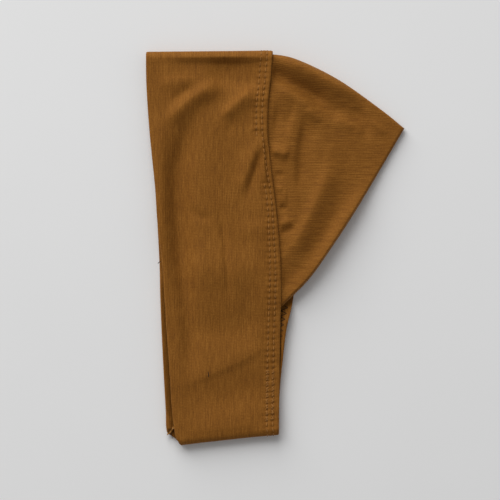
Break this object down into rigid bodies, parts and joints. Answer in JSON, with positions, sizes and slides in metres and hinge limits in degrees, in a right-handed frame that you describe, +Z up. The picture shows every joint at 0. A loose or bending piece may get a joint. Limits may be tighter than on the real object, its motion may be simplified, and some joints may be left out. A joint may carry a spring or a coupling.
{
  "type": "band cap",
  "caption": "Soft jersey band cap lying folded flat on its side: a wide doubled band with a small crown pouch stitched behind it and an open nape.",
  "frame": {"origin": "on the plane the cap lies on, under the middle of its folded outline", "axes": "+Z up; +Y from the nape fold to the forehead fold; +X from the face opening to the tip of the crown"},
  "size_m": [0.165, 0.2518, 0.0109],
  "materials": {
    "jersey": "matt ochre-brown cotton jersey, fine ribs along the band and across the crown",
    "overlocked_jersey": "the same jersey with its cut edge overlocked in brown thread"
  },
  "bodies": {
    "root": {"band": "jersey", "crown": "jersey", "nape_seam": "overlocked_jersey"}
  },
  "joints": []
}
